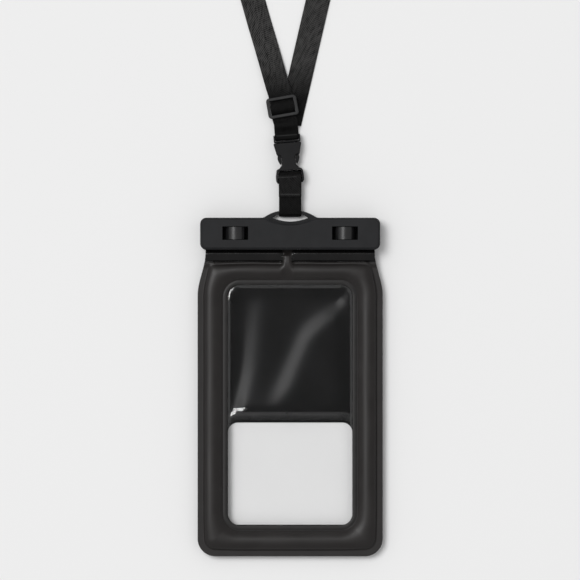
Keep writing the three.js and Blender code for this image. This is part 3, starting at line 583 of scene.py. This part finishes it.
def front_waves(x, y):
    """Two folds, each a tanh step across a bent line, with a raised upper edge and corners, a curled dent at
    the end of the ledge, and slow waves. The folds fade towards the window's weld."""
    inn = inside_box(x, y, **FRONT_HOLE)
    free = ease(inn, 0, 12)
    left_line = -27.5 + 0.14 * (y + 80) - 0.0055 * np.maximum(-80 - y, 0) ** 2
    right_line = 3.5 + 0.42 * (y + 79) + 0.03 * np.maximum(y + 70, 0) ** 2
    lean = 0.42 + 0.06 * np.maximum(y + 70, 0)
    from_right = (x - right_line) / np.hypot(1, lean)
    left_fold = (1.5 - 0.02 * (y + 80)) * np.tanh((x - left_line) / 7.5) * ease(y, -126, -110)
    fold = left_fold + (1.35 * np.tanh(from_right / 6.5) - x / 26) * ease(y, -124, -98)
    corner = 1 - ease(np.hypot(np.abs(x) - FRONT_HOLE["half"], y - FRONT_HOLE["high"]), 8, 13)
    from_dent = np.hypot(x - DENT_X, y - DENT_Y) - DENT_RADIUS
    dent = 0.22 * (1 - np.tanh(from_dent / 0.8)) * ease(DENT_X - x, -6, 2) * ease(y - DENT_Y, 0, 5)
    bulge = (0.08 + 0.36 * corner) * (1 - np.exp(-np.maximum(inn, 0) / 1.0)) * ease(inn, -0.5, 0.5)
    return bulge + dent + free * (fold + 0.3 * soft_waves(x, y, 52, 1.0))


def rear_waves(x, y):
    """A little slack in the middle."""
    return 0.12 * ease(inside_box(x, y, **REAR_HOLE), 0, 14) * (1 + soft_waves(x, y, 60, 3.0))


front_window = clear_film("front_window_film", FRONT_HOLE, 5.8, front_waves)
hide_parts("front_window")
back_window = clear_film("back_window_film", REAR_HOLE, 0.9, rear_waves, rows=40)
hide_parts("back_window")

# %% [markdown]
# ## Moulded plastic parts
# The bar's two halves, the buckle and the slider are injection moulded. Their solids already have the right
# shapes, so a merged copy of each is taken and only its hard edges are rounded by a fraction of a
# millimetre, as a mould rounds them. That thin round is what catches the light along each edge. The bar's
# front rim is meant for the hand, and gets a wider round.


# %% Rounded copies of the moulded parts
RIM_ABOVE, RIM_BEYOND_X, RIM_BEYOND_Y = 13.5, 44, 7


def moulded(node, name, edge, body="pouch", limit=28, wide=0.0, wide_at=None):
    """A merged copy of a solid whose edges sharper than limit degrees get a round of edge mm, or of wide mm
    where wide_at, a function of an edge's middle in mm, is true."""
    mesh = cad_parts[node].data.copy()
    mesh.name = name
    work = bmesh.new()
    work.from_mesh(mesh)
    bmesh.ops.remove_doubles(work, verts=work.verts, dist=2e-6)
    bmesh.ops.dissolve_limit(work, angle_limit=np.radians(0.8), verts=work.verts, edges=work.edges)
    most = max(edge, wide)
    shares = work.edges.layers.float.new("bevel_weight_edge")
    sharp = [e for e in work.edges if e.is_manifold and e.calc_face_angle() > np.radians(limit)]
    for one in sharp:
        middle = (one.verts[0].co + one.verts[1].co) / 2 / MM
        one[shares] = (wide if wide_at and wide_at(*middle) else edge) / most
    work.to_mesh(mesh)
    work.free()
    mesh.materials.clear()
    mesh.shade_smooth()
    piece = bpy.data.objects.new(name, mesh)
    bpy.context.scene.collection.objects.link(piece)
    rounding = piece.modifiers.new("rounded edges", "BEVEL")
    rounding.width = most * MM
    rounding.segments = 3
    rounding.limit_method = "WEIGHT"
    flat_first = piece.modifiers.new("flat faces stay flat", "WEIGHTED_NORMAL")
    flat_first.mode = "FACE_AREA_WITH_ANGLE"
    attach(piece, body)
    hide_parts(node)
    print(name, "faces before rounding:", len(mesh.polygons))
    return piece


def on_bar_rim(x, y, z):
    """The upper rim of the bar's front half, without the lock windows."""
    return z > RIM_ABOVE and (abs(x) > RIM_BEYOND_X or abs(y) > RIM_BEYOND_Y)


bar_back = moulded("clamp_back", "bar_back_half", 0.3)
bar_front = moulded("clamp_front", "bar_front_half", 0.3, wide=1.8, wide_at=on_bar_rim)
buckle_socket = moulded("buckle_female", "buckle_socket", 0.3)
buckle_tongue = moulded("buckle_male", "buckle_tongue", 0.25)
strap_slider = moulded("slider", "strap_slider", 0.4)

# %% [markdown]
# ## Turn locks
# Each lock is a short barrel that the thumb rolls over, with a ridge to push, a web to its hub, and a hook
# below that catches under the back half. The barrel must be truly round, because it carries a long narrow
# highlight, so each part is an arc section with many steps, pushed along the lock's width.

# %% Turn locks
LOCK_X, LOCK_Y, PIVOT_Z, LOCK_WIDTH = 35.5, 0.2, 7.5, 8.0
# Inner and outer radius, from and to in degrees from straight up, positive towards the bar's middle, width.
LOCK_ARCS = {
    "thumb shell": (5.9, 6.8, -68, 72, LOCK_WIDTH),
    "ridge": (6.4, 7.5, 45, 51, LOCK_WIDTH),
    "web": (0.5, 6.2, -12, 52, LOCK_WIDTH - 0.1),
    "stem": (0.5, 4.8, 166, 194, LOCK_WIDTH - 0.1),
    "hook": (4.5, 5.4, 166, 232, LOCK_WIDTH - 0.1),
    "hub": (0.05, 2.0, 0, 359.5, LOCK_WIDTH - 0.2),
    "pins": (0.02, 0.9, 0, 359.5, LOCK_WIDTH + 2),
}


def arc_block(inner, outer, start, stop, width, side):
    """A ring sector in X and Z about the pivot, pushed along Y: x = r sin a, z = r cos a."""
    steps = max(int(abs(stop - start) / 4), 3)
    a = np.radians(np.linspace(start, stop, steps + 1))
    r = np.array([outer, outer, inner, inner])
    y = np.array([-width / 2, width / 2, width / 2, -width / 2])
    x = side * (LOCK_X - r[None, :] * np.sin(a)[:, None])
    z = PIVOT_Z + r[None, :] * np.cos(a)[:, None]
    points = np.dstack([x, np.broadcast_to(LOCK_Y + y, x.shape), z])
    faces, _ = grid_faces(steps + 1, 4, wrap_columns=True)
    return points.reshape(-1, 3), faces, [[0, 1, 2, 3], list(range(4 * steps, 4 * steps + 4))]


def turn_lock(name, node, body, side):
    """All arc blocks of a lock in one mesh, with their edges rounded a little."""
    points, faces, caps, count = [], [], [], 0
    for arc in LOCK_ARCS.values():
        p, f, c = arc_block(*arc, side)
        points.append(p)
        faces.append(f + count)
        caps += [[count + i for i in cap] for cap in c]
        count += len(p)
    piece = make_piece(name, np.vstack(points), np.vstack(faces), body, caps)
    rounding = piece.modifiers.new("rounded edges", "BEVEL")
    rounding.width = 0.18 * MM
    rounding.segments = 2
    rounding.limit_method = "ANGLE"
    rounding.angle_limit = np.radians(40)
    rounding.harden_normals = True
    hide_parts(node)
    return piece


lock_left = turn_lock("turn_lock_left", "lock_left", "left_lock", -1)
lock_right = turn_lock("turn_lock_right", "lock_right", "right_lock", 1)

# %% [markdown]
# ## Finishes
# A finish is a small tree of nodes on the standard shader. Each reads Object coordinates, so that a pattern
# keeps its size on every piece, or the band's own UV for the weave. Colour, roughness and relief come from
# noise at the scale of the real surface. Values that are the same all over are set on the shader itself.


# %% Node helpers
def wire(tree, kind, links=(), **values):
    """A node of a kind with some inputs set by name and some linked as (input, source output)."""
    node = tree.nodes.new(kind)
    for key, value in values.items():
        if hasattr(node, key):
            setattr(node, key, value)
        else:
            node.inputs[key.replace("_", " ")].default_value = value
    for key, source in links:
        tree.links.new(source, node.inputs[key])
    return node


def calculate(tree, operation, a, b=None):
    """One Math node; a and b are numbers or sockets."""
    node = tree.nodes.new("ShaderNodeMath")
    node.operation = operation
    for k, value in enumerate((a, b)):
        if isinstance(value, bpy.types.NodeSocket):
            tree.links.new(value, node.inputs[k])
        elif value is not None:
            node.inputs[k].default_value = value
    return node.outputs[0]


def spread(tree, source, low, high, from_low=0.3, from_high=0.7):
    """Noise that runs from from_low to from_high, spread over low to high."""
    node = wire(tree, "ShaderNodeMapRange", [("Value", source)])
    for key, value in (("From Min", from_low), ("From Max", from_high), ("To Min", low), ("To Max", high)):
        node.inputs[key].default_value = value
    return node.outputs["Result"]


def colour_between(tree, factor, dark, light):
    """A colour from dark to light as the factor goes from 0 to 1."""
    node = tree.nodes.new("ShaderNodeMix")
    node.data_type = "RGBA"
    tree.links.new(factor, node.inputs["Factor"])
    colours = [s for s in node.inputs if s.type == "RGBA"]
    colours[0].default_value = (*dark, 1)
    colours[1].default_value = (*light, 1)
    return [s for s in node.outputs if s.type == "RGBA"][0]


def surface(name, dark, light, rough, patch_mm, grain_mm, relief_mm, specular=0.5):
    """Two noises: a large one for patches of colour and roughness, and a fine one for the relief."""
    material = bpy.data.materials.new(name)
    material.use_nodes = True
    tree = material.node_tree
    shader = tree.nodes["Principled BSDF"]
    place = wire(tree, "ShaderNodeTexCoord").outputs["Object"]
    at_place = [("Vector", place)]
    patches = wire(tree, "ShaderNodeTexNoise", at_place, Scale=1 / (patch_mm * MM), Detail=4.0)
    grain = wire(tree, "ShaderNodeTexNoise", at_place, Scale=1 / (grain_mm * MM), Detail=3.0)
    factor = spread(tree, patches.outputs["Fac"], 0, 1)
    tree.links.new(colour_between(tree, factor, dark, light), shader.inputs["Base Color"])
    uneven = calculate(tree, "ADD", factor, calculate(tree, "MULTIPLY", grain.outputs["Fac"], 0.4))
    tree.links.new(spread(tree, uneven, rough - 0.05, rough + 0.07, 0, 1.4), shader.inputs["Roughness"])
    raised = [("Height", grain.outputs["Fac"])]
    bump = wire(tree, "ShaderNodeBump", raised, Strength=1.0, Distance=relief_mm * MM)
    tree.links.new(bump.outputs["Normal"], shader.inputs["Normal"])
    shader.inputs["Specular IOR Level"].default_value = specular
    return material


# %% [markdown]
# ## Plastics and films
# The bar is charcoal plastic from a spark-eroded mould, which leaves a fine matt grain. The locks and the
# buckle came from smoother moulds. The padded front is soft black film with a faint warm tone and a satin
# skin, its weld is pressed flatter and paler, and the back sheet is the same film seen from its glossy side.

# %% Finishes for plastic and film
bar_finish = surface(
    "bar_plastic", (0.0115, 0.0117, 0.0127), (0.016, 0.0163, 0.0175),
    rough=0.5, patch_mm=9, grain_mm=0.45, relief_mm=0.08, specular=0.15,
)
lock_finish = surface(
    "lock_plastic", (0.006, 0.006, 0.0065), (0.009, 0.009, 0.0095),
    rough=0.33, patch_mm=4, grain_mm=0.6, relief_mm=0.008,
)
buckle_finish = surface(
    "buckle_plastic", (0.0055, 0.0055, 0.006), (0.0085, 0.0085, 0.009),
    rough=0.43, patch_mm=5, grain_mm=0.5, relief_mm=0.03, specular=0.13,
)
slider_finish = surface(
    "slider_plastic", (0.011, 0.011, 0.0115), (0.016, 0.016, 0.0165),
    rough=0.4, patch_mm=5, grain_mm=0.5, relief_mm=0.02, specular=0.3,
)
padded_finish = surface(
    "padded_film", (0.0125, 0.0108, 0.0104), (0.0155, 0.0138, 0.0133),
    rough=0.4, patch_mm=14, grain_mm=1.1, relief_mm=0.014, specular=0.27,
)
weld_finish = surface(
    "window_bead", (0.013, 0.0122, 0.012), (0.017, 0.016, 0.0157),
    rough=0.38, patch_mm=6, grain_mm=0.7, relief_mm=0.012, specular=0.22,
)
gloss_finish = surface(
    "glossy_film", (0.002, 0.002, 0.0021), (0.004, 0.004, 0.0043),
    rough=0.16, patch_mm=20, grain_mm=3.0, relief_mm=0.008, specular=0.07,
)
# Painted shade: near black, for the thin strip in the shade under the ledge's edge.
shadow_finish = surface(
    "painted_shade_under_ledge", (0.0008, 0.0008, 0.0008), (0.0016, 0.0016, 0.0016),
    rough=0.5, patch_mm=8, grain_mm=1.2, relief_mm=0.01, specular=0.05,
)
ledge_finish = surface(
    "ledge_weld", (0.0045, 0.0046, 0.0048), (0.008, 0.0081, 0.0084),
    rough=0.3, patch_mm=8, grain_mm=1.2, relief_mm=0.014, specular=0.24,
)
# The strips are the flat doubled film, glossier than the padding; their colour is painted darker as the shade
# under the bar.
strip_shaded_finish = surface(
    "strip_film_painted_shade", (0.004, 0.0038, 0.0038), (0.0065, 0.006, 0.006),
    rough=0.24, patch_mm=9, grain_mm=1.4, relief_mm=0.012, specular=0.25,
)
for finish, pieces in [
    (bar_finish, (bar_back, bar_front)),
    (lock_finish, (lock_left, lock_right)),
    (buckle_finish, (buckle_socket, buckle_tongue)),
    (slider_finish, (strap_slider,)),
]:
    for piece in pieces:
        piece.data.materials.append(finish)


def finish_by_place(piece, finishes, number_at):
    """Gives each face the finish whose number is a function of its middle, in mm."""
    mesh = piece.data
    for finish in finishes:
        mesh.materials.append(finish)
    centre = np.zeros(len(mesh.polygons) * 3)
    mesh.polygons.foreach_get("center", centre)
    number = number_at(*(centre.reshape(-1, 3) / MM).T).astype(np.int32)
    mesh.polygons.foreach_set("material_index", number)
    print(piece.name, "faces with each finish:", np.bincount(number).tolist())


def padded_number(x, y, z):
    """1 on the bead round the window, 2 on the strips above the crease, painted darker as shade under the bar.
    """
    bead = (-inside_box(x, y, **FRONT_HOLE) < BEAD) & (y < -29.5)
    return bead + 2 * ((y > CREASE_Y) & (np.abs(x - PLEAT_X) > PLEAT_HALF))


def panel_number(x, y, z):
    """1 on the ledge, 2 on a thin strip between it and the window, painted near black as shade under the
    ledge.
    """
    away = -inside_box(x, y, **REAR_HOLE)
    upper_side = z > 0.3
    # Painted shade: a thin near-black strip along the window's edge, under the ledge.
    weld = (away < LEDGE_NEAR + LEDGE_EDGE) & upper_side
    ledge = (away < LEDGE_FAR - 1.2) & upper_side & ~weld
    return ledge + 2 * weld


finish_by_place(padded_front, [padded_finish, weld_finish, strip_shaded_finish], padded_number)
finish_by_place(back_panel, [gloss_finish, ledge_finish, shadow_finish], panel_number)

# %% [markdown]
# ## Clear film
# Thin clear film neither bends nor tints the view, so it is a mix of see-through and mirror, with Fresnel as
# the mixing factor: nearly all see-through when looked at squarely, and more mirror at a slant.

# %% Clear finish
RIPPLE_LENGTH, RIPPLE_DEPTH = 9, 0.03


def see_through(name, index, rough):
    """See-through and mirror mixed by Fresnel, with a faint ripple."""
    material = bpy.data.materials.new(name)
    material.use_nodes = True
    tree = material.node_tree
    tree.nodes.remove(tree.nodes["Principled BSDF"])
    place = wire(tree, "ShaderNodeTexCoord").outputs["Object"]
    at_place = [("Vector", place)]
    ripple = wire(tree, "ShaderNodeTexNoise", at_place, Scale=1 / (RIPPLE_LENGTH * MM), Detail=2.0)
    raised = [("Height", ripple.outputs["Fac"])]
    relief = wire(tree, "ShaderNodeBump", raised, Strength=1.0, Distance=RIPPLE_DEPTH * MM)
    through = wire(tree, "ShaderNodeBsdfTransparent", Color=(1, 1, 1, 1))
    normal = [("Normal", relief.outputs["Normal"])]
    mirror = wire(tree, "ShaderNodeBsdfAnisotropic", normal, Color=(1, 1, 1, 1), Roughness=rough)
    fresnel = wire(tree, "ShaderNodeFresnel", IOR=index)
    mixed = wire(tree, "ShaderNodeMixShader", [("Fac", fresnel.outputs[0])])
    tree.links.new(through.outputs[0], mixed.inputs[1])
    tree.links.new(mirror.outputs[0], mixed.inputs[2])
    tree.links.new(mixed.outputs[0], tree.nodes["Material Output"].inputs["Surface"])
    return material


clear_finish = see_through("clear_film", 1.165, 0.28)
rear_clear_finish = see_through("clear_rear_film", 1.1, 0.3)
rim_finish = see_through("film_rim", 1.5, 0.07)


def film_number(x, y, z):
    """1 on the film's rim and on the crease over the end of the ledge."""
    crease = np.abs(np.hypot(x - DENT_X, y - DENT_Y) - DENT_RADIUS) < 1.2
    crease &= (x < -28) & (y > -119)
    return (inside_box(x, y, **FRONT_HOLE) < 1.6) | crease


finish_by_place(front_window, [clear_finish, rim_finish], film_number)
back_window.data.materials.append(rear_clear_finish)

# %% [markdown]
# ## The weave
# This webbing is a tight twill of dull black yarn. In the band's own UV, one number counts the yarn columns
# across and the other the picks along. Shifting each column by a part of a pick gives slanting ribs, and the
# slant turns back in the middle of the band, as a herringbone does. Fine noise is the fuzz of the yarn, long
# noise its paler streaks. The pale colour is let in only further up, on the legs, as a painted sheen where
# they catch the lamp; near the buckle and slider the band is kept darker, as painted shade.


# %% Webbing finish
PICK, RIB, YARN, FUZZ = 1.5, 1.8, 0.62, 0.25
STREAK_LENGTH, STREAK_WIDTH = 5, 1.3
# Y limits of the painted sheen: painted shade below, near the buckle and slider; full painted sheen above, on
# the legs.
SHEEN_FROM, SHEEN_FULL = 0.088, 0.112


def webbing_finish(name, dark, light, least_sheen):
    """Height = sin(2 pi (along / PICK + |across| / RIB)) / 2 + |sin(pi across / YARN)| + noise. The colour
    goes from dark to light with height and streaks, times a painted sheen that grows from least_sheen to 1
    along Y, so the legs are painted lighter and the band near the buckle darker."""
    material = bpy.data.materials.new(name)
    material.use_nodes = True
    tree = material.node_tree
    shader = tree.nodes["Principled BSDF"]
    uv = wire(tree, "ShaderNodeUVMap", uv_map="UVMap").outputs[0]
    parts = wire(tree, "ShaderNodeSeparateXYZ", [("Vector", uv)])
    along, across = parts.outputs[0], calculate(tree, "ABSOLUTE", parts.outputs[1])
    picks = calculate(tree, "DIVIDE", along, PICK * MM)
    slant = calculate(tree, "ADD", picks, calculate(tree, "DIVIDE", across, RIB * MM))
    twill = calculate(tree, "SINE", calculate(tree, "MULTIPLY", slant, 2 * np.pi))
    yarns = calculate(tree, "MULTIPLY", parts.outputs[1], np.pi / (YARN * MM))
    column = calculate(tree, "ABSOLUTE", calculate(tree, "SINE", yarns))
    height = calculate(tree, "ADD", calculate(tree, "MULTIPLY", twill, 0.5), column)
    fuzz = wire(tree, "ShaderNodeTexNoise", [("Vector", uv)], Scale=1 / (FUZZ * MM), Detail=2.0)
    height = calculate(tree, "ADD", height, calculate(tree, "MULTIPLY", fuzz.outputs["Fac"], 0.8))
    drift = calculate(tree, "ADD", parts.outputs[1], calculate(tree, "MULTIPLY", along, 0.25))
    lines = wire(tree, "ShaderNodeCombineXYZ", [
        ("X", calculate(tree, "DIVIDE", along, STREAK_LENGTH * MM)),
        ("Y", calculate(tree, "DIVIDE", drift, STREAK_WIDTH * MM)),
    ])
    streaks = wire(tree, "ShaderNodeTexNoise", [("Vector", lines.outputs[0])], Scale=1.0, Detail=2.0)
    mixed_in = calculate(tree, "ADD", height, calculate(tree, "MULTIPLY", streaks.outputs["Fac"], 3.0))
    place = wire(tree, "ShaderNodeTexCoord").outputs["Object"]
    place_y = wire(tree, "ShaderNodeSeparateXYZ", [("Vector", place)]).outputs[1]
    # Painted sheen: the colour is let towards light only on the legs, and held dark, as painted shade, near
    # the buckle.
    painted_sheen = spread(tree, place_y, least_sheen, 1.0, SHEEN_FROM, SHEEN_FULL)
    factor = calculate(tree, "MULTIPLY", spread(tree, mixed_in, 0, 1, 1.8, 2.9), painted_sheen)
    tree.links.new(colour_between(tree, factor, dark, light), shader.inputs["Base Color"])
    tree.links.new(spread(tree, fuzz.outputs["Fac"], 0.62, 0.82), shader.inputs["Roughness"])
    bump = wire(tree, "ShaderNodeBump", [("Height", height)], Strength=1.0, Distance=0.2 * MM)
    tree.links.new(bump.outputs["Normal"], shader.inputs["Normal"])
    shader.inputs["Specular IOR Level"].default_value = 0.1
    return material


# The last number is the least painted sheen; the sewn lap gets more, so it is painted a little lighter.
web_finish = webbing_finish("black_webbing", (0.001, 0.001, 0.0011), (0.062, 0.061, 0.06), 0.12)
lap_finish = webbing_finish("sewn_webbing", (0.001, 0.001, 0.0011), (0.07, 0.069, 0.068), 0.22)
for piece, finish in [(neck_strap, web_finish), (short_strap, web_finish), (sewn_lap, lap_finish)]:
    piece.data.materials.append(finish)
thread_finish = surface(
    "sewing_thread", (0.02, 0.02, 0.02), (0.035, 0.035, 0.035),
    rough=0.6, patch_mm=1.5, grain_mm=0.2, relief_mm=0.02,
)
threads.data.materials.append(thread_finish)

# %% [markdown]
# ## The strap's length
# The strap is a free length of flat webbing that leaves the buckle's bar and comes back to it. Its length is
# measured along its middle line.

# %% [markdown]
# ## Table and light
# The table is a plain pale sheet. A large soft lamp stands up and to the left, so shadows fall a little to
# the right and down, and a small bright spot in its middle makes the sharp glints on the clear film. An
# even pale sky fills the shadows.

# %% Table and lamps
LAMP_AIM = (0, -0.04, 0)
REACH = 4.0
corners = [(-REACH, -REACH, -1e-4), (REACH, -REACH, -1e-4), (REACH, REACH, -1e-4), (-REACH, REACH, -1e-4)]
floor_mesh = bpy.data.meshes.new("table")
floor_mesh.from_pydata(corners, [], [(0, 1, 2, 3)])
table = bpy.data.objects.new("table", floor_mesh)
bpy.context.scene.collection.objects.link(table)
table_finish = bpy.data.materials.new("table_paint")
table_finish.use_nodes = True
paint = table_finish.node_tree.nodes["Principled BSDF"]
paint.inputs["Base Color"].default_value = (0.82, 0.82, 0.82, 1)
paint.inputs["Roughness"].default_value = 0.8
paint.inputs["Specular IOR Level"].default_value = 0.1
floor_mesh.materials.append(table_finish)


def soft_lamp(name, place, aim, size, power):
    """A square area lamp at place, turned to aim, both in metres."""
    data = bpy.data.lights.new(name, "AREA")
    data.size = size
    data.energy = power
    lamp = bpy.data.objects.new(name, data)
    lamp.location = place
    lamp.rotation_euler = (Vector(aim) - Vector(place)).to_track_quat("-Z", "Y").to_euler()
    bpy.context.scene.collection.objects.link(lamp)


soft_lamp("key", (-6.6, 4.6, 15.8), LAMP_AIM, 8.8, 1830)
soft_lamp("spark", (-6.6, 4.6, 15.7), LAMP_AIM, 0.5, 80)
world = bpy.data.worlds.new("studio")
bpy.context.scene.world = world
world.use_nodes = True
tree = world.node_tree
direction = wire(tree, "ShaderNodeTexCoord").outputs["Generated"]
sky = wire(tree, "ShaderNodeSeparateXYZ", [("Vector", direction)])
glow = spread(tree, sky.outputs[2], 0.54, 0.52, 0.0, 1.0)
tree.links.new(glow, tree.nodes["Background"].inputs["Strength"])
tree.nodes["Background"].inputs["Color"].default_value = (1, 1, 1, 1)
bpy.context.scene.view_settings.view_transform = "Standard"

# %% [markdown]
# The view layer is brought up to date at the end.

# %% Last update
bpy.context.view_layer.update()
